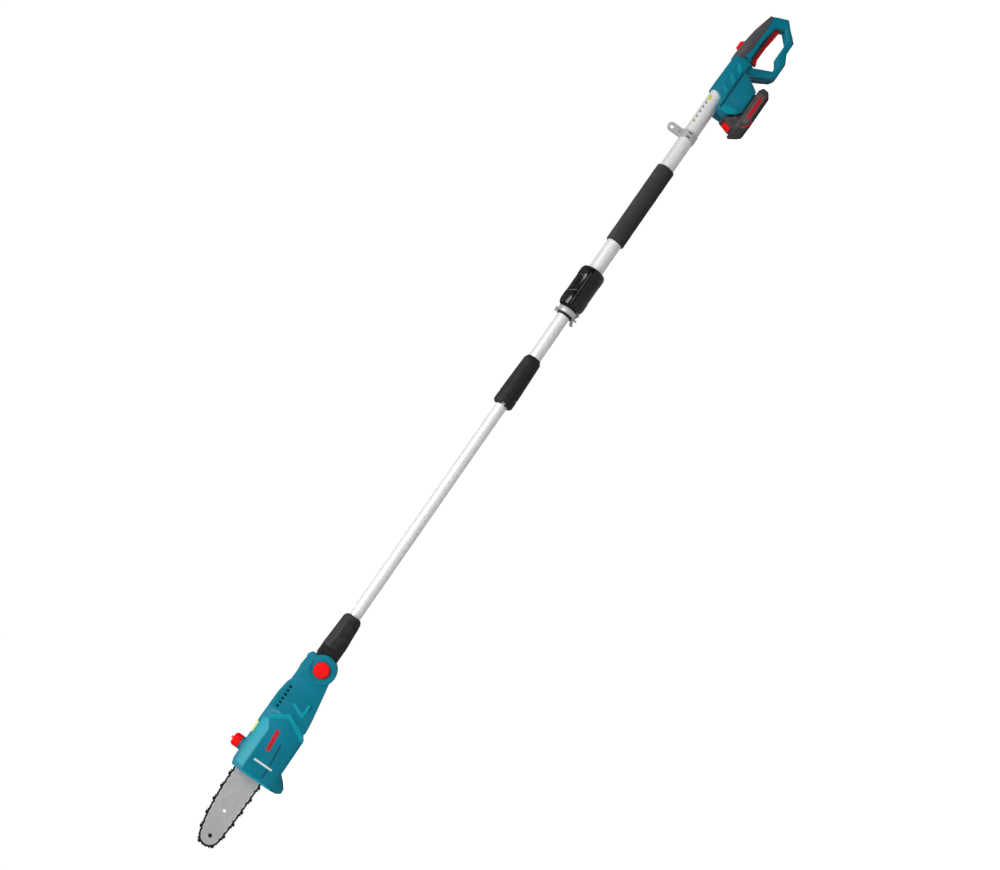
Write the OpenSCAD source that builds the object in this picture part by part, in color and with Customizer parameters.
// Telescoping cordless pole saw, in millimetres.
// Drawn with X along the pole (+X towards the handle), Z up, and the head's tilt
// pivot at zero. placed() then moves everything so that the origin is at the
// bottom centre of the whole saw, lying on the flat base of its battery.

/* [Pole] */
// Outer diameter of the lower tube
lower_d = 23; // [20:0.5:28]
// Wall of the lower and middle tubes
tube_wall = 1; // [0.8:0.1:1.4]
// Sliding gap between one tube and the next, on the radius
slide_gap = 0.2; // [0.15:0.05:0.4]
// Wall of the upper tube
upper_wall = 1.9; // [1.5:0.1:2.5]
// Free length of lower tube between knuckle and twist lock
lower_free = 476; // [380:1:580]
// Free length of middle tube between twist lock and clamp
mid_free = 100; // [80:1:130]
// Free length of upper tube between coupling and foam grip
upper_free = 66; // [55:1:80]
// Height of the pole's axis above the tilt pivot
pole_z = 6.5; // [5:0.5:8]

/* [Twist lock and clamp] */
// Length of the twist lock sleeve
sleeve_len = 109; // [90:1:130]
// Thickness of the sleeve's lower end round the middle tube
sleeve_wall = 7.3; // [6.5:0.1:10]
// Length of the coupling body
coupling_len = 91; // [80:1:110]
// Thickness of the coupling body round the upper tube
coupling_wall = 10.5; // [9.5:0.5:15]

/* [Foam grip and hanger] */
// Length of the foam grip
foam_len = 180; // [150:1:216]
// Thickness of the foam
foam_wall = 4; // [3.5:0.5:8]
// Free length of upper tube between foam grip and housing
rear_free = 169; // [150:1:205]
// Width of the hanger's band
hanger_w = 18; // [15:0.5:22]
// Radius of the hole in the hanger's eye
eye_r = 4; // [3.4:0.1:4.8]
// Height of the eye's centre above the pole's axis
eye_rise = 37.5; // [34:0.5:45]

/* [Guide bar and chain] */
// Length of bar in front of the head
bar_reach = 144; // [120:1:173]
// Thickness of the bar
bar_t = 3.2; // [2.8:0.1:4]
// Number of teeth on the drive sprocket
sprocket_teeth = 8; // [7:1:9]
// Thickness of the chain's drive links
drive_link_t = 1.3; // [1.1:0.1:1.5]

/* [Motor and gears] */
// Tooth size (module) of the gear pair
gear_module = 1.5; // [1.25:0.05:1.6]
// Teeth of the pinion
pinion_teeth = 14; // [13:1:15]
// Teeth of the driven gear
gear_teeth = 44; // [40:1:46]
// Outer diameter of the motor
motor_d = 42; // [38:1:46]

/* [Housings] */
// Wall of the moulded shells
shell_wall = 2.5; // [2:0.1:3]
// Half width of the head on the side away from the bar
head_half = 34; // [33.5:0.5:36]
// Half width of the grip
grip_half = 15.5; // [14:0.5:18]
// Thickness of the barrel at each side of the upper tube
barrel_wall = 8; // [6:0.5:11]

/* [Battery] */
// Width of the battery
battery_w = 75; // [70:1:80]
// Length of the battery
battery_len = 96; // [92:1:116]

/* [Hidden] */
$fn = 64;
fit = 0.15;          // assembly gap between parts of one body
run = 0.05;          // running clearance of a shaft in its bore, on the radius
move = 0.5;          // gap between parts that move past each other
over = 1;            // how far a cutter runs past a face
far = 60;            // past every side face

// Tube sizes, from the inside out
lower_r = lower_d / 2;
mid_in = lower_r + slide_gap;
mid_r = mid_in + tube_wall;
upper_in = mid_r + 2 * slide_gap;
upper_r = upper_in + upper_wall;
tube_top = pole_z + lower_r;
tube_low = pole_z - lower_r;

// Stations along the pole
knuckle_end = 112;
sleeve_x = knuckle_end + lower_free;
sleeve_end = sleeve_x + sleeve_len;
ring_x = sleeve_end + mid_free;
bush_x = ring_x + 3;
coupling_x = ring_x + 15;
coupling_end = coupling_x + coupling_len;
foam_x = coupling_end + upper_free;
foam_end = foam_x + foam_len;
house_x = foam_end + rear_free;
hanger_x = house_x - 92;
lower_tube_x = 44;
lower_tube_end = ring_x - 20;
mid_tube_x = sleeve_x + 22;
mid_tube_end = coupling_end + 120;
upper_tube_x = ring_x + 14;
upper_tube_end = house_x + 72;

// Battery and the place where it sits
battery_half = battery_w / 2;
battery_x = house_x - 34;
battery_bottom = -80;
battery_top = -54;
rail_half = 20;
rail_top = -36;
rail_start = battery_x + 22;
throat_end = battery_x + battery_len - 12;

// Whole saw: ends, and the shift to its bottom centre
tip_x = -bar_reach - 225 - 4.5;
handle_end = house_x + 217.5;
mid_x = (tip_x + handle_end) / 2;

// Gear pair: centres lie on one line along the head
pressure_angle = 25;
backlash = 0.12;
gear_r = gear_teeth * gear_module / 2;
pinion_r = pinion_teeth * gear_module / 2;
drive_x = -150;
motor_x = drive_x + gear_r + pinion_r;
motor_r = motor_d / 2;

// Layers across the head, from the motor to the sprocket cover
motor_y = [-28.2, -9];
plate_y = [-8.5, -6];
gear_y = [-4, 3];
pad_y = [3.6, 6.6];
bar_seat = 9;
bar_y = bar_seat + fit;
bar_mid_y = bar_y + bar_t / 2;
cover_y = [20, 28];

// Bar: nose circle and the two long edges
nose_r = 16.5;
nose_x = -225 - bar_reach + nose_r;
nose_z = -4;
bar_tail_x = drive_x - 26;
bar_half = 25.5;
bar_z = 1.5;
groove_t = drive_link_t + 0.2;
groove_depth = 5;

// Chain
link_goal = 12.7;
sprocket_pitch_r = sprocket_teeth * link_goal / (2 * PI);
chain_rise = 2.6;

// Pivot between head and knuckle
cheek_r = 28;
tongue_half = 12.5;
cheek_in = tongue_half + move;
cheek_out = 26;
axle_r = 6;
button_r = 15;
knuckle_half = lower_r + 9.5;

// ---------- placing and basic shapes ----------

// From the pivot's frame to the frame of the finished saw
module placed() {
    translate([-mid_x, 0, -battery_bottom]) children();
}

// A side view outline in X and Z, given thickness from y0 to y1
module side(y0, y1) {
    translate([0, y1, 0]) rotate([90, 0, 0]) linear_extrude(height = y1 - y0) children();
}

// An end view outline in Y and Z, given length from x0 to x1
module along(x0, x1) {
    translate([x0, 0, 0]) rotate([90, 0, 90]) linear_extrude(height = x1 - x0) children();
}

// Round bar along X on the pole's axis
module pole_rod(x0, x1, r) {
    translate([x0, 0, pole_z]) rotate([0, 90, 0]) cylinder(h = x1 - x0, r = r);
}

module pole_tube(x0, x1, r_out, r_in) {
    difference() {
        pole_rod(x0, x1, r_out);
        pole_rod(x0 - over, x1 + over, r_in);
    }
}

// Round bar along Y from y0 to y1
module cross_rod(x, z, y0, y1, r) {
    translate([x, y1, z]) rotate([90, 0, 0]) cylinder(h = y1 - y0, r = r);
}

// Turned shape about the pole's axis: points are [radius, x]
module turned(points) {
    translate([0, 0, pole_z]) rotate([0, 90, 0]) rotate_extrude() polygon(points);
}

module half_space(sign) {
    y0 = sign > 0 ? 0 : -200;
    translate([tip_x - 50, y0, -200]) cube([handle_end - tip_x + 100, 200, 400]);
}

// Points of an arc about [cx, cy], both ends included
function arc(cx, cy, r, a0, a1, n) =
    [for (i = [0 : n]) let (a = a0 + (a1 - a0) * i / n) [cx + r * cos(a), cy + r * sin(a)]];

// Points of a quadratic curve, its start left out
function bend(p0, p1, p2, n) = [for (i = [1 : n]) let (t = i / n)
    p0 * (1 - t) * (1 - t) + p1 * 2 * t * (1 - t) + p2 * t * t];

// Involute gear outline, one tooth centred on the X axis
function inv_deg(a) = tan(a) * 180 / PI - a;
function flank(r, rb) = r <= rb ? 0 : inv_deg(acos(rb / r));
function gear_points(n, m, steps = 5) =
    let (rp = n * m / 2, rb = rp * cos(pressure_angle), ra = rp + m, rf = rp - 1.25 * m,
        half = 90 / n - backlash / 2 / rp * 180 / PI + inv_deg(pressure_angle),
        r0 = max(rf, rb))
    [for (k = [0 : n - 1]) let (c = k * 360 / n) each concat(
        [[rf * cos(c - half), rf * sin(c - half)]],
        [for (i = [0 : steps]) let (r = r0 + (ra - r0) * i / steps, a = c - half + flank(r, rb))
            [r * cos(a), r * sin(a)]],
        [for (i = [steps : -1 : 0]) let (r = r0 + (ra - r0) * i / steps, a = c + half - flank(r, rb))
            [r * cos(a), r * sin(a)]],
        [[rf * cos(c + half), rf * sin(c + half)]])];

// ---------- rear housing ----------

hx = house_x;
barrel_half = upper_r + barrel_wall;
barrel_top = pole_z + upper_r + 3.5;
barrel_low = pole_z - upper_r - 3.5;
barrel_outline = [[hx + 14, barrel_top], [hx + 12, 12], [hx + 7, 0], [hx - 8, -8], [hx + 60, -9],
    [hx + 70, barrel_low], [hx + 92, barrel_low], [hx + 100, 8], [hx + 92, 23], [hx + 22, barrel_top]];
barrel_shoulder = 9;     // width and start height of the slope along the barrel's top
foot_top = -7;
foot_outline = [[hx - 19, foot_top - 2], [hx - 19, -30], [hx - 10, -44], [hx, -52], [hx + 50, -52],
    [hx + 54, -47], [hx + 68, -24], [hx + 72, foot_top], [hx - 12, foot_top]];
grip_outer = [[hx + 66, -9], [hx + 84, -44], [hx + 95, -63], [hx + 105, -69], [hx + 137, -69],
    [hx + 157, -59], [hx + 183, -59], [hx + 203, -38], [hx + 217.5, -25], [hx + 209, -4],
    [hx + 202, 6], [hx + 184, 10], [hx + 160, 16], [hx + 130, 20], [hx + 92, 22], [hx + 66, 20]];
grip_inner = [[hx + 94, -20], [hx + 111, -55], [hx + 127, -55], [hx + 141, -46],
    [hx + 178, -46], [hx + 196, -29], [hx + 187, -14], [hx + 101, -11]];
rubber_outline = [[hx + 92, 25], [hx + 96, 1], [hx + 107, 6], [hx + 120, 2], [hx + 150, 1],
    [hx + 184, 0], [hx + 202, 3], [hx + 203, 8], [hx + 184, 13], [hx + 160, 19], [hx + 130, 23],
    [hx + 100, 25]];
trigger_pivot = [hx + 184, -10];
trigger_outline = [[hx + 105, -22.5], [hx + 109, -20.5], [hx + 116, -18], [hx + 150, -19],
    [hx + 184, -23], [hx + 190, -20], [hx + 190, -8], [hx + 180, -8], [hx + 172, -12],
    [hx + 135, -11], [hx + 109, -10.5], [hx + 104, -14]];
screw_places = [[hx + 82, -2], [hx + 86, -27], [hx + 103, -60], [hx + 150, -54],
    [hx + 190, -43], [hx + 201, -7]];
screw_r = 1.5;
screw_seat = grip_half - 4;
screw_head_r = 3;
recess_r = 3.4;
boss_r = 4.6;
lock_off_x = hx + 111;
lock_off_len = 26;
lock_off_z = 12;
slide_room = 8;      // free length for the safety slider's travel
rubber_t = 2.1;
rubber_half = grip_half + 0.6;

module grip_ring() {
    difference() {
        side(-grip_half, grip_half) polygon(grip_outer);
        side(-grip_half - over, grip_half + over) polygon(grip_inner);
    }
}

// End view of the barrel, or of the hollow a wall inside it
module barrel_section(inset) {
    half = barrel_half - inset;
    along(hx - 20, hx + 110) polygon([[-half, barrel_low], [-half, 10 - inset / 2],
        [-half + barrel_shoulder, barrel_top - inset], [half - barrel_shoulder, barrel_top - inset],
        [half, 10 - inset / 2], [half, barrel_low]]);
}

module housing_solid() {
    intersection() {
        side(-barrel_half, barrel_half) polygon(barrel_outline);
        barrel_section(0);
    }
    side(-battery_half + 9, battery_half - 9) polygon(foot_outline);
    grip_ring();
}

// Hollow space of the housing, cut between its ribs and bosses
module housing_space() {
    intersection() {
        side(-barrel_half, barrel_half) offset(delta = -shell_wall)
            polygon([[hx + 24, 24], [hx + 20, -9], [hx + 92, -9], [hx + 96, 8], [hx + 90, 20]]);
        barrel_section(shell_wall);
    }
    side(-battery_half + 9 + shell_wall, battery_half - 9 - shell_wall) polygon([[hx - 10, -14],
        [hx - 10, -32], [hx + 50, -32], [hx + 60, -20], [hx + 60, -11], [hx, -11]]);
    // way for the wires from the foot to the grip
    side(-8, 8) polygon([[hx + 54, -15], [hx + 54, -10.5], [hx + 74, -2], [hx + 82, -6],
        [hx + 66, -15]]);
    side(-grip_half + shell_wall, grip_half - shell_wall) polygon([[hx + 96, 17],
        [hx + 96, -3], [hx + 188, -9], [hx + 198, -4], [hx + 194, 3], [hx + 160, 13], [hx + 130, 17]]);
    side(-grip_half + shell_wall, grip_half - shell_wall) polygon([[hx + 107, -58],
        [hx + 128, -58], [hx + 143, -49.5], [hx + 178, -49.5], [hx + 199, -31], [hx + 207, -25],
        [hx + 198, -36], [hx + 181, -56], [hx + 156, -56], [hx + 136, -65.5], [hx + 106, -65.5]]);
}

module housing_half(sign) {
    difference() {
        intersection() {
            housing_solid();
            half_space(sign);
        }
        difference() {
            housing_space();
            for (p = screw_places) cross_rod(p[0], p[1], -far, far, boss_r);
            for (x = [hx + 24, hx + 56]) translate([x, -40, -12]) cube([4, 80, 50]);
        }
        pole_rod(hx - 30, upper_tube_end + fit, upper_r + run);
        for (p = screw_places) {
            cross_rod(p[0], p[1], -grip_half + over, screw_seat, screw_r + fit);
            cross_rod(p[0], p[1], screw_seat, far, recess_r);
        }
        // slot in the underside for the trigger, and its hinge pin
        side(-7, 7) polygon([[hx + 96, -3], [hx + 96, -26], [hx + 193, -26], [hx + 193, -3.5],
            [hx + 172, -4]]);
        cross_rod(trigger_pivot[0], trigger_pivot[1], -12, 12, 2 + fit);
        // slot in the top for the safety slider
        translate([lock_off_x - over, -6, 8]) cube([lock_off_len + slide_room, 12, 30]);
        // rails and throat for the battery
        translate([hx - 40, -rail_half - fit - 4, battery_top - 12])
            cube([throat_end - hx + 40, 2 * (rail_half + fit + 4), rail_top - battery_top + 16.5]);
        // skin left under the rubber
        difference() {
            side(-far, far) polygon(rubber_outline);
            intersection() {
                side(-far, far) translate([0, -2.5]) polygon(rubber_outline);
                grip_section(rubber_t + fit);
            }
        }
    }
}

module rear_housing_left() {
    color([0, 0.46, 0.54]) placed() housing_half(-1);
}

module rear_housing_right() {
    color([0, 0.46, 0.54]) placed() housing_half(1);
}

// Screws of the housing and of the coupling
module body_screws() {
    color("dimgray") placed() {
        for (p = screw_places) {
            cross_rod(p[0], p[1], -grip_half + 2, screw_seat + 0.1, screw_r);
            cross_rod(p[0], p[1], screw_seat + run, screw_seat + 2.4, screw_head_r);
        }
        for (z = coupling_screw_z, x = coupling_screw_x) {
            cross_rod(x, pole_z + z, -coupling_seat + 2, coupling_seat - 1.9, screw_r);
            cross_rod(x, pole_z + z, coupling_seat - 2 + run, coupling_seat, screw_head_r - 0.4);
        }
    }
}

// End view of the grip's rounded back, or of the core a skin inside it
module grip_section(inset) {
    half = rubber_half - inset;
    along(hx + 80, hx + 220) polygon([[-half, -5], [-half, 14 - inset / 2],
        [-half + 6.6, 26 - inset], [half - 6.6, 26 - inset], [half, 14 - inset / 2], [half, -5]]);
}

module grip_overmould() {
    color([0.3, 0.29, 0.3]) placed() difference() {
        intersection() {
            side(-far, far) polygon(rubber_outline);
            grip_section(0);
        }
        intersection() {
            side(-far, far) translate([0, -2.5 + fit])
                polygon(concat(rubber_outline, [[hx + 88, 25]]));
            grip_section(rubber_t);
        }
        translate([hx + 80, -60, -20]) cube([13, 120, 60]);
        translate([lock_off_x - over - 0.5, -6.5, 8])
            cube([lock_off_len + slide_room + 1, 13, 30]);
        for (p = screw_places) cross_rod(p[0], p[1], 0, far, recess_r + 0.2);
    }
}

// ---------- trigger, switch and electronics ----------

switch_x = [hx + 112, hx + 150];
switch_z = -2.5;
trigger_half = 6.3;
spring_x = hx + 145;

module trigger() {
    color([0.88, 0.07, 0.1]) placed() difference() {
        union() {
            side(-trigger_half, trigger_half) polygon(trigger_outline);
            cross_rod(trigger_pivot[0], trigger_pivot[1], -trigger_half, trigger_half, 5);
        }
        cross_rod(trigger_pivot[0], trigger_pivot[1], -10, 10, 2 + run);
    }
}

module trigger_pin() {
    color("silver") placed() cross_rod(trigger_pivot[0], trigger_pivot[1], -11.8, 11.8, 2);
}

// A compression spring, drawn as the thin tube that its coils fill
module spring_tube(h, r, wire = 1) {
    difference() {
        cylinder(h = h, r = r);
        translate([0, 0, -over]) cylinder(h = h + 2 * over, r = r - wire);
    }
}

module trigger_spring() {
    color("silver") placed() translate([spring_x, 0, -10.8])
        spring_tube(switch_z + 10.8, 2.5);
}

module power_switch() {
    color([0.12, 0.12, 0.13]) placed() {
        translate([switch_x[0], -8, switch_z]) cube([switch_x[1] - switch_x[0], 16, 9]);
        translate([switch_x[0] + 4, -4, switch_z + 9]) cube([14, 8, 1.5]);
    }
}

module lock_off_slider() {
    color([0.9, 0.08, 0.1]) placed() {
        translate([lock_off_x, -5.5, 9.5]) cube([lock_off_len, 11, 12]);
        side(-5.5, 5.5) polygon([[lock_off_x + 1, 21], [lock_off_x + 5, 28.5],
            [lock_off_x + 18, 28], [lock_off_x + 25, 21]]);
        for (i = [0 : 4]) translate([lock_off_x + 4.5 + i * 3, -5, 27]) cube([1.4, 10, 2.6]);
    }
}

module lock_off_spring() {
    color("silver") placed() translate([lock_off_x + lock_off_len + run, 0, lock_off_z])
        rotate([0, 90, 0]) spring_tube(11.8, 2.2, 0.8);
}

module control_board() {
    color([0.1, 0.35, 0.15]) placed() {
        translate([hx + 154, -10, -1]) cube([30, 20, 1.6]);
        for (i = [0 : 2]) translate([hx + 158 + i * 8, -6, 0.6]) cube([5, 12, 3]);
    }
}

blade_y = [-10, 0, 10];

// Block with the three blades that reach down into the battery
module terminal_block() {
    placed() {
        color([0.15, 0.15, 0.16]) difference() {
            translate([hx + 4, -17, rail_top + 5.2]) cube([42, 34, 7]);
            for (y = blade_y) translate([hx + 8, y - 0.6, rail_top]) cube([20, 1.2, 11]);
        }
        color("gold") for (y = blade_y)
            translate([hx + 9, y - 0.4, rail_top - 7]) cube([18, 0.8, 17.8]);
    }
}

// ---------- battery ----------

bx = battery_x;
seam_z = -67;
case_outline = [[bx + 14, battery_bottom], [bx + battery_len - 11, battery_bottom],
    [bx + battery_len - 1, -71], [bx + battery_len, -60], [bx + battery_len - 7, battery_top],
    [bx + 1, battery_top], [bx, -59]];
rail_len = throat_end - move - rail_start;
cell_r = 9;
cell_count = 4;

module case_body(inset) {
    intersection() {
        side(-battery_half + inset, battery_half - inset) offset(delta = -inset)
            polygon(case_outline);
        along(bx - 5, bx + battery_len + 5) offset(delta = -inset)
            polygon([[-battery_half, -58], [-battery_half, -74], [-battery_half + 6, -80],
                [battery_half - 6, -80], [battery_half, -74], [battery_half, -58],
                [battery_half - 4, -54], [-battery_half + 4, -54]]);
    }
}

module case_shell() {
    difference() {
        case_body(0);
        case_body(2);
    }
}

module battery_case_lower() {
    color([0.27, 0.25, 0.25]) placed() intersection() {
        case_shell();
        translate([bx - 20, -60, -90]) cube([200, 120, seam_z + 90]);
    }
}

module battery_case_upper() {
    color([0.2, 0.19, 0.2]) placed() difference() {
        union() {
            intersection() {
                case_shell();
                translate([bx - 20, -60, seam_z + 0.05]) cube([200, 120, 40]);
            }
            // rails that slide into the housing
            translate([rail_start, -rail_half, battery_top - 1])
                cube([rail_len, 2 * rail_half, rail_top - battery_top + 1]);
            translate([rail_start, -rail_half - 3, rail_top - 5])
                cube([rail_len, 2 * rail_half + 6, 5]);
            // front block that carries the latch
            side(-rail_half, rail_half) polygon([[bx + 1, -54.5], [bx + 30, -54.5],
                [bx + 23, -45.5], [bx + 14.4, -31.5], [bx + 14.4, -28], [bx + 9, -26],
                [bx + 1, -50]]);
        }
        // room for the housing's blades
        for (y = blade_y) translate([rail_start - over, y - 1, rail_top - 9])
            cube([rail_len + 2 * over, 2, 12]);
        // pocket for the latch and its spring
        side(-12.5, 12.5) polygon([[bx - 3, -52], [bx + 10, -52], [bx + 10, -33],
            [bx - 3, -33]]);
    }
}

module battery_cells() {
    color([0.1, 0.45, 0.3]) placed() for (i = [0 : cell_count - 1])
        cross_rod(bx + 20 + i * 18.4, -66.5, -32.5, 32.5, cell_r);
}

module battery_latch() {
    color([0.92, 0.08, 0.1]) placed() side(-12, 12) polygon([[bx + 5, -51.5],
        [bx - 1, -50], [bx - 1, -46], [bx + 3.5, -33.5], [bx + 5, -33.5]]);
}

module latch_spring() {
    color("silver") placed() translate([bx + 5.05, 0, -43]) rotate([0, 90, 0])
        spring_tube(4.9, 3, 0.8);
}

// ---------- pole, grip and hanger ----------

module upper_tube() {
    color([0.86, 0.86, 0.87]) placed()
        pole_tube(upper_tube_x, upper_tube_end, upper_r, upper_in);
}

module mid_tube() {
    color([0.84, 0.84, 0.85]) placed() pole_tube(mid_tube_x, mid_tube_end, mid_r, mid_in);
}

module lower_tube() {
    color([0.86, 0.86, 0.87]) placed()
        pole_tube(lower_tube_x, lower_tube_end, lower_r, lower_r - tube_wall);
}

// Foam sleeve with rounded ends
module foam_grip() {
    e = 3;
    foam_r = upper_r + foam_wall;
    color([0.22, 0.22, 0.22]) placed() turned([[upper_r, foam_x], [foam_r - e, foam_x],
        [foam_r, foam_x + e], [foam_r, foam_end - e], [foam_r - e, foam_end],
        [upper_r, foam_end]]);
}

band_t = 1.5;
band_gap = 0.6;
leaf_foot = upper_r - 2;

module hanger_clamp() {
    eye_z = pole_z + eye_rise;
    color([0.72, 0.72, 0.74]) placed() difference() {
        union() {
            difference() {
                pole_rod(hanger_x - hanger_w / 2, hanger_x + hanger_w / 2, upper_r + band_t);
                translate([hanger_x - 20, -band_gap, pole_z]) cube([40, 2 * band_gap, 30]);
            }
            for (s = [-1, 1]) {
                y0 = s > 0 ? band_gap : -band_gap - band_t;
                side(y0, y0 + band_t) union() {
                    translate([hanger_x - hanger_w / 2, pole_z + leaf_foot])
                        square([hanger_w, eye_rise - leaf_foot]);
                    translate([hanger_x, eye_z]) circle(r = hanger_w / 2);
                }
            }
        }
        pole_rod(hanger_x - 20, hanger_x + 20, upper_r + run);
        cross_rod(hanger_x, eye_z, -10, 10, eye_r);
        cross_rod(hanger_x - 1, eye_z - 14, -10, 10, 2 + fit);
        // two slots on each side where the strip was pressed
        for (s = [-1, 1], y = [-1, 1]) translate([hanger_x + s * 4.5 - 1.2, y * upper_r - 4, 3])
            cube([2.4, 8, 8]);
    }
}

module hanger_screw() {
    z = pole_z + eye_rise - 14;
    color("gray") placed() {
        cross_rod(hanger_x - 1, z, -band_gap - band_t - 4, 6.5, 2);
        cross_rod(hanger_x - 1, z, -band_gap - band_t - 2.2, -band_gap - band_t, 3.8);
        translate([hanger_x - 1, band_gap + band_t + 2.4, z]) rotate([90, 0, 0])
            cylinder(h = 2.4, r = 4, $fn = 6);
    }
}

// ---------- coupling, clamp and twist lock ----------

coupling_r = upper_r + coupling_wall;
coupling_waist = coupling_r - 0.7;
rubber_r = mid_r + 2.6;
bush_r = upper_r + 1.2;
collar_r = bush_r + 2.6;
coupling_screw_rise = upper_r + 2.5;
coupling_screw_z = [-coupling_screw_rise, coupling_screw_rise];
coupling_screw_x = [coupling_x + 34, coupling_end - 29];
coupling_seat = sqrt(pow(coupling_waist, 2) - pow(coupling_screw_rise + screw_head_r, 2));

module coupling_solid() {
    c0 = coupling_x;
    c1 = coupling_end;
    difference() {
        turned([[upper_r, c0], [coupling_r - 9, c0], [coupling_r - 2.5, c0 + 4],
            [coupling_r, c0 + 11], [coupling_r, c0 + 27], [coupling_waist, c0 + 28],
            [coupling_waist, c1 - 23], [coupling_r, c1 - 22], [coupling_r, c1 - 9],
            [coupling_r - 2.5, c1 - 3], [coupling_r - 8, c1], [upper_r, c1]]);
        for (z = coupling_screw_z, x = coupling_screw_x) {
            cross_rod(x, pole_z + z, -coupling_seat + over, coupling_seat, screw_r + fit);
            cross_rod(x, pole_z + z, coupling_seat - 2, far, screw_head_r - 0.2);
        }
    }
}

module coupling_body_left() {
    color([0.1, 0.1, 0.11]) placed() intersection() {
        coupling_solid();
        half_space(-1);
    }
}

module coupling_body_right() {
    color([0.1, 0.1, 0.11]) placed() intersection() {
        coupling_solid();
        half_space(1);
    }
}

// Ribbed bush: slips on the upper tube and closes on the middle tube
module split_bush() {
    b1 = coupling_x - fit;
    color([0.55, 0.55, 0.56]) placed() difference() {
        union() {
            pole_rod(bush_x, b1, bush_r - 0.8);
            for (i = [0 : 3]) pole_rod(bush_x + 0.6 + i * 3, bush_x + 2 + i * 3, bush_r);
        }
        pole_rod(bush_x - over, b1 + over, mid_r + move / 2);
        pole_rod(upper_tube_x - fit, b1 + over, upper_r + run);
        translate([bush_x - over, 0, pole_z - 1.2]) cube([bush_x, 40, 2.4]);
    }
}

module rubber_ring() {
    color([0.12, 0.12, 0.12]) placed() pole_tube(ring_x - 1, bush_x - fit, rubber_r,
        mid_r + move / 2);
}

collar_x = [bush_x + 1, coupling_x - 1.5];
bolt_x = (collar_x[0] + collar_x[1]) / 2;
bolt_y = collar_r + 4.2;
ear_z = 9;
bolt_r = 2;
wing_z = pole_z - ear_z - 12;

module clamp_collar() {
    color([0.62, 0.62, 0.64]) placed() difference() {
        union() {
            pole_rod(collar_x[0], collar_x[1], collar_r);
            translate([collar_x[0], 0, pole_z - ear_z])
                cube([collar_x[1] - collar_x[0], bolt_y + 4.5, 2 * ear_z]);
        }
        pole_rod(collar_x[0] - over, collar_x[1] + over, bush_r + run);
        translate([collar_x[0] - over, 0, pole_z - 2]) cube([20, 60, 4]);
        translate([bolt_x, bolt_y, pole_z - 30]) cylinder(h = 60, r = bolt_r + fit);
    }
}

module clamp_bolt() {
    color("silver") placed() translate([bolt_x, bolt_y, 0]) {
        translate([0, 0, pole_z - 26]) cylinder(h = 26 + ear_z + 0.1, r = bolt_r);
        translate([0, 0, pole_z + ear_z + 0.05]) cylinder(h = 11, r1 = 3, r2 = 4.4);
        translate([0, 0, pole_z + ear_z + 11.05]) cylinder(h = 3, r = 4.4);
    }
}

module wing_nut() {
    color([0.75, 0.75, 0.77]) placed() translate([bolt_x, bolt_y, wing_z]) difference() {
        union() {
            cylinder(h = 11.5, r = 4.4);
            for (a = [0, 180]) rotate([0, 0, a]) translate([3, -1.1, 0]) rotate([90, 0, 0])
                translate([0, 0, -2.2]) linear_extrude(height = 2.2)
                polygon([[0, 1], [8, -4], [11, -2], [10, 3], [0, 7]]);
        }
        translate([0, 0, -30]) cylinder(h = 60, r = bolt_r + run);
    }
}

sleeve_r = mid_r + sleeve_wall;
sleeve_small = sleeve_r - 2.5;
collet_r = mid_r + 2.4;
collet_span = [sleeve_x + 16, sleeve_x + 70];

module lock_sleeve() {
    s0 = sleeve_x;
    s1 = sleeve_end;
    color([0.16, 0.16, 0.16]) placed() difference() {
        turned([[mid_r + move, s0], [sleeve_r - 3, s0], [sleeve_r, s0 + 4], [sleeve_r, s0 + 19],
            [sleeve_r - 0.8, s0 + 20], [sleeve_r - 0.8, s0 + 22], [sleeve_r, s0 + 23],
            [sleeve_small, s1 - 7], [sleeve_small - 4, s1], [mid_r + move, s1]]);
        pole_rod(collet_span[0] - fit, collet_span[1] + fit, collet_r + run);
        // the two jaws at the mouth
        translate([s0 - over, -40, pole_z - 4]) cube([6 + over, 80, 8]);
    }
}

// Slit bush on the end of the middle tube, which the sleeve closes on the lower tube
module collet() {
    color([0.35, 0.35, 0.36]) placed() difference() {
        pole_tube(collet_span[0], collet_span[1], collet_r, mid_r + run);
        for (a = [45 : 90 : 315]) translate([0, 0, pole_z]) rotate([a, 0, 0])
            translate([collet_span[0] - over, -0.8, 0]) cube([24, 1.6, 40]);
    }
}

// ---------- knuckle ----------

knuckle_x = 42;
knuckle_outline = [[knuckle_x, tube_low - 10], [knuckle_x, tube_top + 9.5], [104, tube_top + 7],
    [knuckle_end - 2, tube_top + 4], [knuckle_end, pole_z + 9.5], [knuckle_end, pole_z - 9.5],
    [knuckle_end - 2, tube_low - 3], [104, tube_low - 6.5]];
tongue_r = 24;
knuckle_screw_places = [[60, tube_low - 5.5], [96, tube_low - 3.2], [60, tube_top + 5.2],
    [96, tube_top + 3.2]];
knuckle_seat = 12;

module knuckle_solid() {
    intersection() {
        side(-knuckle_half, knuckle_half) polygon(knuckle_outline);
        along(0, knuckle_end + over) polygon([[-knuckle_half, pole_z - 7.5],
            [-knuckle_half, pole_z + 6.5], [-knuckle_half + 11, tube_top + 10],
            [knuckle_half - 11, tube_top + 10], [knuckle_half, pole_z + 6.5],
            [knuckle_half, pole_z - 7.5], [knuckle_half - 9, tube_low - 11],
            [-knuckle_half + 9, tube_low - 11]]);
    }
    side(-tongue_half, tongue_half) polygon([[0, -tongue_r], [12, -20.5], [24, -15], [50, -15],
        [50, 27.5], [24, 27.5], [12, 22], [0, tongue_r]]);
    cross_rod(0, 0, -tongue_half, tongue_half, tongue_r);
}

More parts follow.
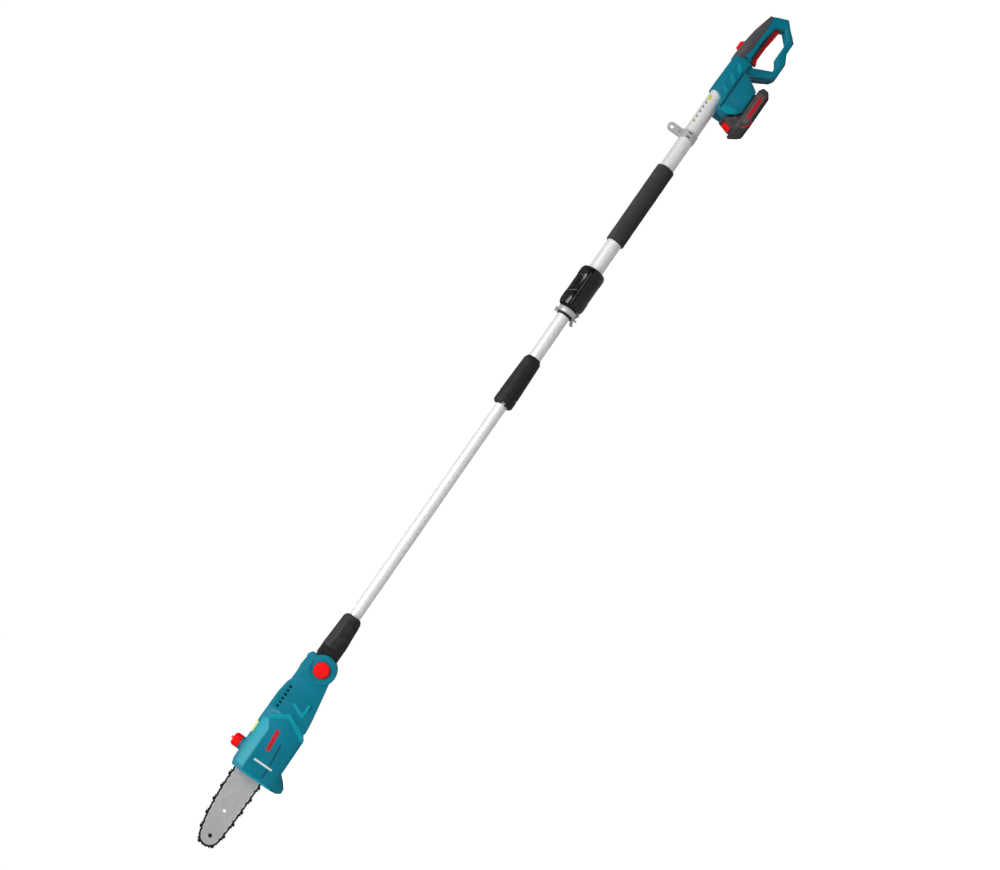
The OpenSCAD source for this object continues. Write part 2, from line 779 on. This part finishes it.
module knuckle_half_shell(sign) {
    difference() {
        intersection() {
            knuckle_solid();
            half_space(sign);
        }
        pole_rod(lower_tube_x - fit, 200, lower_r + run);
        // way for the lead, and room for the tilt lock
        side(-7, 7) polygon([[-14, -4], [-14, 10], [50, 14], [50, -1]]);
        cross_rod(0, 0, -far, far, axle_r + run);
        cross_rod(0, 0, -far, -tongue_half + 5, 13.6);
        for (p = knuckle_screw_places) {
            cross_rod(p[0], p[1], -knuckle_seat, knuckle_seat, screw_r + fit);
            cross_rod(p[0], p[1], knuckle_seat, far, recess_r);
        }
    }
}

module knuckle_left() {
    color([0.13, 0.13, 0.14]) placed() knuckle_half_shell(-1);
}

module knuckle_right() {
    color([0.13, 0.13, 0.14]) placed() knuckle_half_shell(1);
}

module knuckle_screws() {
    color("dimgray") placed() for (p = knuckle_screw_places) {
        cross_rod(p[0], p[1], -knuckle_seat + over, knuckle_seat + 0.1, screw_r);
        cross_rod(p[0], p[1], knuckle_seat + run, knuckle_seat + 2, screw_head_r);
    }
}

// Hollow axle, fixed in the head's far cheek
module pivot_axle() {
    color("silver") placed() difference() {
        union() {
            cross_rod(0, 0, -tongue_half + 6, cheek_out - 4, axle_r);
            cross_rod(0, 0, cheek_out - 4, cheek_out - 1.5, 10);
        }
        cross_rod(0, 0, -30, 40, 3.2);
    }
}

// Round red button with the toothed ring that locks the tilt
module tilt_button() {
    y0 = -cheek_out - 4;
    color([0.95, 0.1, 0.1]) placed() {
        intersection() {
            cross_rod(0, 0, y0, -tongue_half - 3.5, button_r);
            translate([0, 17.6 + y0, 0]) sphere(r = 22);
        }
        for (i = [0 : 11]) rotate([0, i * 30, 0]) translate([11, -tongue_half - 3.6, -1.3])
            cube([2, 2.6, 2.6]);
    }
}

module tilt_spring() {
    color("silver") placed() translate([0, -tongue_half + 5, 0]) rotate([90, 0, 0])
        difference() {
            cylinder(h = 8.4, r = 9);
            translate([0, 0, -over]) cylinder(h = 12, r = 7.8);
        }
}

// ---------- head ----------

front_x = -224;
face_z = 17;
head_outline = concat([[front_x, -47], [front_x, 36], [front_x + 2, 38], [-213, 41],
    [-125, 44], [-72, 43], [-50, 40], [-44, 37], [-22, 36.5], [-10, 38], [5, 36.5],
    [11, 38], [17, 34], [19, 21]],
    arc(0, 0, cheek_r, 38, -118, 22),
    [[-16, -25.5], [-50, -32], [-90, -39], [-108, -41], [-114, -38], [-125, -46.5],
    [-193, -47], [-203, -58], [-213, -66], [-218, -66], [-223, -59]]);
cavity_outline = [[front_x + shell_wall, -44.5], [front_x + shell_wall, 35], [-212, 38.5],
    [-125, 41.5], [-72, 40.5], [-52, 37.5], [-48, 34], [-36, 33.5], [-36, -26.5],
    [-90, -36.5], [-109, -38.4], [-115, -35], [-125, -44]];
head_far = 18;
broad_screws = [[-216, 30], [-133, 37.5], [-132, -40.5], [-212, -52]];
neck_screws = [[-46, 31], [-50, -26]];
shell_seam = pad_y[0] - fit;
broad_end = -103;
broad_seat = pad_y[1] - 1.6;
neck_seat = 14;
screw_tip = -20;
cap_x = -186;
cap_y = -8;
chain_room = 8.3;

// Solid of the whole head: broad in front, narrow towards the pivot
neck_half = 31.5;
neck_plan = [[-101, -neck_half], [-78, -neck_half], [-45, -cheek_out], [40, -cheek_out],
    [40, cheek_out], [-40, cheek_out], [-58, head_far], [-101, head_far]];
neck_wall = broad_end + shell_wall;
neck_space = [[neck_wall, -neck_half + 2.2], [-79, -neck_half + 2.2], [-46, -cheek_out + 2],
    [-35, -cheek_out + 2], [-35, head_far - 2.5], [neck_wall, head_far - 2.5]];
motor_way = [-23, 23];

module head_solid() {
    intersection() {
        side(-head_half, cheek_out) polygon(head_outline);
        union() {
            along(front_x - 5, -100) polygon([[-head_half, -40], [-head_half, face_z],
                [-head_half + 15, 44.5], [head_far, 44.5], [head_far, -67], [-head_half + 8, -67]]);
            translate([0, 0, -far]) linear_extrude(height = 2 * far) polygon(neck_plan);
        }
    }
    // collar round the filler neck
    translate([cap_x, cap_y, 36]) cylinder(h = cap_z - 36.3, r = cap_r);
    // raised chevron panel at the end of the broad part
    side(-head_half, -neck_half + 1) polygon([[-112, -37], [-96, 0], [-112, 34], [-140, 16],
        [-140, -36]]);
}

module head_space() {
    side(-head_half + shell_wall, far) polygon(cavity_outline);
}

module head_shell_solid() {
    difference() {
        head_solid();
        intersection() {
            head_space();
            difference() {
                union() {
                    along(front_x, broad_end) polygon([[-head_half + shell_wall, -40],
                        [-head_half + shell_wall, face_z - 1], [-head_half + 17, 42],
                        [far, 42], [far, -far], [-head_half + shell_wall, -far]]);
                    translate([0, 0, -far]) linear_extrude(height = 2 * far) polygon(neck_space);
                    // way through from the gears to the neck, which the motor fills
                    along(broad_end - over, neck_wall + over) polygon([
                        [-neck_half + 2.2, motor_way[0]], [-neck_half + 2.2, motor_way[1]],
                        [shell_seam, motor_way[1]], [shell_seam, motor_way[0]]]);
                }
                for (p = concat(broad_screws, neck_screws)) cross_rod(p[0], p[1], -far, far, boss_r);
            }
        }
        // gap that the knuckle's tongue turns in
        cross_rod(0, 0, -cheek_in, cheek_in, cheek_r + 3);
        translate([-10, -cheek_in, -far]) cube([60, 2 * cheek_in, 2 * far]);
        translate([-34, -7, -3]) cube([20, 14, 10]);
        // bore for the axle, seat for the button
        cross_rod(0, 0, -6, 40, axle_r + run);
        cross_rod(0, 0, cheek_out - 4 - run, 40, 10.2);
        cross_rod(0, 0, -far, -tongue_half + 4, button_r + 0.3);
        // neck of the oil tank
        translate([cap_x, cap_y, 30]) cylinder(h = 40, r = neck_r + 0.2);
        for (p = concat(broad_screws, neck_screws))
            cross_rod(p[0], p[1], screw_tip - over, far, screw_r + fit);
        for (p = neck_screws) cross_rod(p[0], p[1], neck_seat, far, recess_r);
        // air slots over the motor
        for (i = [0 : 5]) translate([-96 + i * 8, -neck_half - 5, 26]) cube([3.2, 20, 5]);
    }
}

module head_shell_left() {
    color([0, 0.46, 0.54]) placed() intersection() {
        head_shell_solid();
        translate([-300, -100, -100]) cube([400, 100 + shell_seam, 200]);
    }
}

// Far shell: half of the neck, and the plate that the bar bolts against
module head_shell_right() {
    color([0, 0.44, 0.52]) placed() {
        intersection() {
            head_shell_solid();
            translate([broad_end, shell_seam + 0.05, -100]) cube([200, 100, 200]);
        }
        difference() {
            union() {
                side(shell_seam + 0.05, pad_y[1]) intersection() {
                    polygon(head_outline);
                    translate([front_x - over, -100]) square([broad_end - front_x + over, 200]);
                }
                side(pad_y[0], bar_seat) polygon([[-220, -15], [-220, 18], [-186, 18], [-186, -15]]);
            }
            cross_rod(drive_x, 0, -far, far, bearing_r + run);
            cross_rod(stud_x, stud_z, -far, far, stud_r + run);
            for (p = broad_screws) {
                cross_rod(p[0], p[1], -far, far, screw_r + fit);
                cross_rod(p[0], p[1], broad_seat, far, recess_r);
            }
        }
    }
}

module head_screws() {
    color("dimgray") placed() {
        for (p = broad_screws) {
            cross_rod(p[0], p[1], screw_tip, broad_seat + 0.1, screw_r);
            cross_rod(p[0], p[1], broad_seat + run, pad_y[1] - run, screw_head_r);
        }
        for (p = neck_screws) {
            cross_rod(p[0], p[1], screw_tip, neck_seat + 0.1, screw_r);
            cross_rod(p[0], p[1], neck_seat + run, neck_seat + 2, screw_head_r);
        }
    }
}

stud_x = -200;
stud_z = 0;
stud_r = 3;
cover_outline = [[front_x, -47], [front_x, 36], [-213, 41], [-125, 44], [-110, 38],
    [-103.6, 20], [-103.6, -20], [-112, -37], [-125, -46.5], [-193, -47]];
cover_inner = [[-218, -43], [-218, 37], [-128, 40], [-113, 34], [-107, 18], [-107, -18],
    [-114, -35], [-126, -43]];

module sprocket_cover() {
    color([0, 0.44, 0.52]) placed() difference() {
        union() {
            side(pad_y[1] + fit, cover_y[0]) polygon(cover_outline);
            side(cover_y[0], cover_y[1]) offset(delta = -3) polygon(cover_outline);
        }
        side(0, cover_y[1] - shell_wall) polygon(cover_inner);
        // mouth for the bar and chain
        translate([front_x - 5, 0, bar_z - bar_half - chain_room])
            cube([20, bar_y + bar_t + 4.5, 2 * (bar_half + chain_room)]);
        cross_rod(stud_x, stud_z, 0, far, 7);
    }
}

module bar_stud() {
    color("silver") placed() {
        cross_rod(stud_x, stud_z, shell_seam - 1.6, cover_y[1] + 3, stud_r);
        cross_rod(stud_x, stud_z, shell_seam - 1.6, shell_seam, 6);
    }
}

module bar_nut() {
    y0 = bar_y + bar_t + 0.05;
    color("gray") placed() translate([stud_x, y0, stud_z]) rotate([-90, 0, 0]) difference() {
        cylinder(h = cover_y[1] + 2 - y0, r = 6.5, $fn = 6);
        translate([0, 0, -over]) cylinder(h = 60, r = stud_r + run);
    }
}

// ---------- guide bar and chain ----------

bar_top = bar_z + bar_half;
bar_low = bar_z - bar_half;
nose_a = [255, 110];
bar_straight_x = -235;
chain_exit_x = -190;

// Point on a circle about the nose, and where its tangent meets a long edge
function nose_point(r, a) = [nose_x + r * cos(a), nose_z + r * sin(a)];
function tangent_meets(p, a, z) = [p[0] + (z - p[1]) / (-cos(a)) * sin(a), z];
function rest(v) = [for (i = [1 : len(v) - 1]) v[i]];

// Edge of the bar from its lower straight, round the nose, to its upper straight
function bar_edge(rise) = let (r = nose_r + rise, lo = bar_low - rise, hi = bar_top + rise,
        p = nose_point(r, nose_a[0]), q = nose_point(r, nose_a[1]))
    concat([[bar_straight_x, lo]],
        bend([bar_straight_x, lo], tangent_meets(p, nose_a[0], lo), p, 7),
        rest(arc(nose_x, nose_z, r, nose_a[0], nose_a[1], 16)),
        bend(q, tangent_meets(q, nose_a[1], hi), [bar_straight_x, hi], 9));

bar_outline = concat(bar_edge(0), [[-192, bar_top], [bar_tail_x, 16], [bar_tail_x, -14],
    [-192, bar_low]]);

module guide_bar() {
    color([0.7, 0.7, 0.7]) placed() {
        difference() {
            side(bar_y, bar_y + bar_t) polygon(bar_outline);
            // groove all round for the drive links
            side(bar_mid_y - groove_t / 2, bar_mid_y + groove_t / 2) difference() {
                offset(delta = 2) polygon(bar_outline);
                offset(delta = -groove_depth) polygon(bar_outline);
            }
            // room for the nose sprocket, slot for the stud, relief hole
            cross_rod(nose_x, nose_z, bar_mid_y - groove_t / 2, bar_mid_y + groove_t / 2, 12.8);
            side(0, 40) union() {
                translate([stud_x - 7, stud_z - stud_r - run]) square([21, 2 * (stud_r + run)]);
                for (dx = [-7, 14]) translate([stud_x + dx, stud_z]) circle(r = stud_r + run);
            }
            cross_rod(-303.5, 0, 0, 40, 3);
        }
        cross_rod(nose_x, nose_z, bar_y - 0.35, bar_y + bar_t + 0.35, 3.5);
    }
}

module nose_sprocket() {
    color("dimgray") placed() side(bar_mid_y - 0.6, bar_mid_y + 0.6)
        translate([nose_x, nose_z]) difference() {
            polygon([for (i = [0 : 17]) let (r = i % 2 == 0 ? 12.4 : 9.6, a = i * 20)
                each [[r * cos(a - 4), r * sin(a - 4)], [r * cos(a + 4), r * sin(a + 4)]]]);
            circle(r = 3.5 + run);
        }
}

// Line of the rivets, closed round the bar and the drive sprocket
chain_line = concat([[chain_exit_x, bar_low - chain_rise]], bar_edge(chain_rise),
    [[chain_exit_x, bar_top + chain_rise]], arc(drive_x, 0, sprocket_pitch_r, 72, -75, 14),
    [[chain_exit_x, bar_low - chain_rise]]);
chain_at = [for (i = 0, s = 0; i < len(chain_line);
    s = s + (i + 1 < len(chain_line) ? norm(chain_line[i + 1] - chain_line[i]) : 0), i = i + 1) s];
chain_len = chain_at[len(chain_at) - 1];
link_count = 2 * round(chain_len / link_goal / 2);
link = chain_len / link_count / 2;
along_x = [for (i = [0 : len(chain_line) - 1]) [chain_at[i], chain_line[i][0]]];
along_z = [for (i = [0 : len(chain_line) - 1]) [chain_at[i], chain_line[i][1]]];
function wrap(s) = s - chain_len * floor(s / chain_len);
function chain_point(i) = let (s = wrap(i * link)) [lookup(s, along_x), lookup(s, along_z)];

drive_link_shape = [[-2.2, 0], [-1.6, -1.6], [0.8, -2.2], [link / 2 - 1.3, -5.9],
    [link / 2 + 0.3, -5.9], [link - 0.8, -2.2], [link + 1.6, -1.6], [link + 2.2, 0],
    [link + 1.6, 1.7], [link / 2, 1.2], [-1.6, 1.7]];
strap_shape = [[-2.2, 0], [-1.6, -2], [link + 1.6, -2], [link + 2.2, 0], [link + 1.5, 1.9],
    [link / 2, 1.4], [-1.5, 1.9]];
cutter_shape = [[-2.2, 0], [-1.6, -2], [link + 1.6, -2], [link + 2.2, 0], [link + 1.8, 3.4],
    [link + 0.2, 3.6], [link - 1.2, 1.5], [link - 2, 1.9], [link - 2.6, 4.6], [-2, 3.6]];
strap_y = [drive_link_t / 2 + 0.08, drive_link_t / 2 + 1.25];
rivet_r = 1.2;

// Lays its children on the chain, between rivet i and the next
module on_chain(i) {
    p = chain_point(i);
    q = chain_point(i + 1);
    translate(p) rotate(atan2(q[1] - p[1], q[0] - p[0])) children();
}

// One side of a link pair: s is -1 for the near side, 1 for the far side
module link_side(s, y0, y1) {
    side(s > 0 ? bar_mid_y + y0 : bar_mid_y - y1, s > 0 ? bar_mid_y + y1 : bar_mid_y - y0)
        children();
}

module chain_rivet_pair(i) {
    for (j = [i, i + 1]) {
        p = chain_point(j);
        cross_rod(p[0], p[1], bar_mid_y - strap_y[1] - 0.3, bar_mid_y + strap_y[1] + 0.3,
            rivet_r, $fn = 16);
    }
}

module chain_drive_links() {
    color([0.2, 0.2, 0.2]) placed() for (k = [0 : link_count - 1])
        side(bar_mid_y - drive_link_t / 2, bar_mid_y + drive_link_t / 2) difference() {
            on_chain(2 * k) polygon(drive_link_shape);
            for (j = [0, 1]) translate(chain_point(2 * k + j))
                circle(r = rivet_r + run, $fn = 16);
        }
}

module chain_tie_straps() {
    color([0.17, 0.17, 0.17]) placed() for (k = [0 : 2 : link_count - 1]) {
        for (s = [-1, 1]) link_side(s, strap_y[0], strap_y[1])
            on_chain(2 * k + 1) polygon(strap_shape);
        chain_rivet_pair(2 * k + 1);
    }
}

module chain_cutters() {
    color([0.14, 0.14, 0.14]) placed() for (k = [1 : 2 : link_count - 1]) {
        s = k % 4 == 1 ? 1 : -1;
        link_side(s, strap_y[0], strap_y[1]) on_chain(2 * k + 1) polygon(cutter_shape);
        link_side(-s, strap_y[0], strap_y[1]) on_chain(2 * k + 1) polygon(strap_shape);
        // top plate of the tooth, leaning outwards
        link_side(s, -0.4, 3) on_chain(2 * k + 1)
            polygon([[-2, 2.7], [link - 2.6, 3.7], [link - 2.6, 4.6], [-2, 3.6]]);
        chain_rivet_pair(2 * k + 1);
    }
}

// ---------- motor, gears and shaft ----------

shaft_r = 5;
bearing_r = 8;
motor_shaft_r = 2.5;
rotor_r = 11.5;

module motor_stator() {
    color([0.35, 0.35, 0.37]) placed() difference() {
        cross_rod(motor_x, 0, motor_y[0], motor_y[1], motor_r);
        cross_rod(motor_x, 0, motor_y[0] + 2, motor_y[1] - 2, rotor_r + move);
        cross_rod(motor_x, 0, motor_y[0] - over, motor_y[1] + over, motor_shaft_r + run);
    }
}

module motor_rotor() {
    color([0.5, 0.42, 0.3]) placed() {
        cross_rod(motor_x, 0, motor_y[0] + 2.5, motor_y[1] - 2.5, rotor_r);
        cross_rod(motor_x, 0, motor_y[0] + 0.5, gear_y[1], motor_shaft_r);
    }
}

module gear(x, n, turn, bore) {
    side(gear_y[0], gear_y[1]) translate([x, 0]) rotate(turn) difference() {
        polygon(gear_points(n, gear_module));
        circle(r = bore);
    }
}

// Turned so that one of its gaps faces the driven gear's tooth
module pinion() {
    color("silver") placed()
        gear(motor_x, pinion_teeth, 180 + 180 / pinion_teeth, motor_shaft_r + run);
}

module driven_gear() {
    color([0.75, 0.7, 0.6]) placed() gear(drive_x, gear_teeth, 0, shaft_r + run);
}

module drive_sprocket() {
    color("gray") placed() {
        cross_rod(drive_x, 0, plate_y[0] - 1, bar_mid_y + 4, shaft_r);
        cross_rod(drive_x, 0, bar_mid_y - 2.4, bar_mid_y + 2.4, 9.2);
        for (s = [-1, 1]) link_side(s, 1, 2.4) translate([drive_x, 0]) difference() {
            circle(r = 13);
            for (i = [0 : sprocket_teeth - 1]) rotate(i * 360 / sprocket_teeth)
                translate([13, 0]) circle(r = 2.2, $fn = 24);
        }
    }
}

module gear_plate() {
    color([0.6, 0.6, 0.62]) placed() difference() {
        side(plate_y[0], plate_y[1]) polygon([[-185, -12], [-170, -28], [-120, -28], [-88, -18],
            [-88, 18], [-120, 28], [-170, 28], [-185, 12]]);
        cross_rod(drive_x, 0, -20, 10, bearing_r + run);
        cross_rod(motor_x, 0, -20, 10, motor_shaft_r + 1);
    }
}

module shaft_bearings() {
    color([0.8, 0.8, 0.82]) placed() for (y = [plate_y, pad_y]) difference() {
        cross_rod(drive_x, 0, y[0], y[1], bearing_r);
        cross_rod(drive_x, 0, y[0] - over, y[1] + over, shaft_r + run);
    }
}

// ---------- oil ----------

cap_r = 12.5;
cap_z = 46.3;
neck_r = 9.6;
tank_low = [[-219, -27, -40], [-189, 1.5, 24]];
tank_high = [[-201, -17, 10], [-178, -9.2, 30]];

// A box between two corners, drawn in by the amount inset
module corner_box(b, inset = 0) {
    translate([b[0][0] + inset, b[0][1] + inset, b[0][2] + inset])
        cube([b[1][0] - b[0][0] - 2 * inset, b[1][1] - b[0][1] - 2 * inset,
            b[1][2] - b[0][2] - 2 * inset]);
}

module oil_tank() {
    color([0.85, 0.85, 0.8]) placed() difference() {
        union() {
            corner_box(tank_low);
            corner_box(tank_high);
            translate([cap_x, cap_y, 27]) cylinder(h = cap_z - 27.5, r = neck_r);
        }
        corner_box(tank_low, 1.6);
        translate([-203, -15.4, 12]) cube([23, 4.6, 16.5]);
        translate([cap_x, cap_y, 26]) cylinder(h = 30, r = neck_r - 1.6);
    }
}

module oil_cap() {
    color([0.95, 0.1, 0.1]) placed() translate([cap_x, cap_y, 0]) {
        translate([0, 0, cap_z]) linear_extrude(height = 12.7) polygon([for (i = [0 : 35])
            let (r = i % 2 == 0 ? cap_r : cap_r - 0.9) [r * cos(i * 10), r * sin(i * 10)]]);
        translate([0, 0, cap_z + 12.6]) cylinder(h = 3, r1 = 11.2, r2 = 9);
        translate([0, 0, cap_z + 15.5]) cylinder(h = 4, r1 = 3, r2 = 1.6);
        translate([0, 0, cap_z - 8]) cylinder(h = 8.1, r = neck_r - 2.2);
    }
}

module oil_pump() {
    color([0.4, 0.4, 0.42]) placed() {
        cross_rod(-182, -34, plate_y[0] - 9, plate_y[0] - 1, 5);
        translate([-188.4, -15, -36]) cube([7, 4, 4]);
    }
}

// Coiled lead inside the pole, as the fat tube that its turns fill
module power_lead() {
    color([0.1, 0.1, 0.1]) placed() pole_rod(lower_tube_x + 8, upper_tube_end - 2, 7.5);
}

rear_housing_left();
rear_housing_right();
body_screws();
grip_overmould();
trigger();
trigger_pin();
trigger_spring();
lock_off_slider();
lock_off_spring();
power_switch();
control_board();
terminal_block();
battery_case_upper();
battery_case_lower();
battery_cells();
battery_latch();
latch_spring();
upper_tube();
foam_grip();
hanger_clamp();
hanger_screw();
coupling_body_left();
coupling_body_right();
split_bush();
rubber_ring();
clamp_collar();
clamp_bolt();
wing_nut();
mid_tube();
lock_sleeve();
collet();
lower_tube();
knuckle_left();
knuckle_right();
knuckle_screws();
pivot_axle();
tilt_button();
tilt_spring();
head_shell_left();
head_shell_right();
head_screws();
sprocket_cover();
bar_nut();
bar_stud();
guide_bar();
nose_sprocket();
chain_drive_links();
chain_cutters();
chain_tie_straps();
motor_stator();
motor_rotor();
pinion();
driven_gear();
drive_sprocket();
gear_plate();
shaft_bearings();
oil_tank();
oil_cap();
oil_pump();
power_lead();
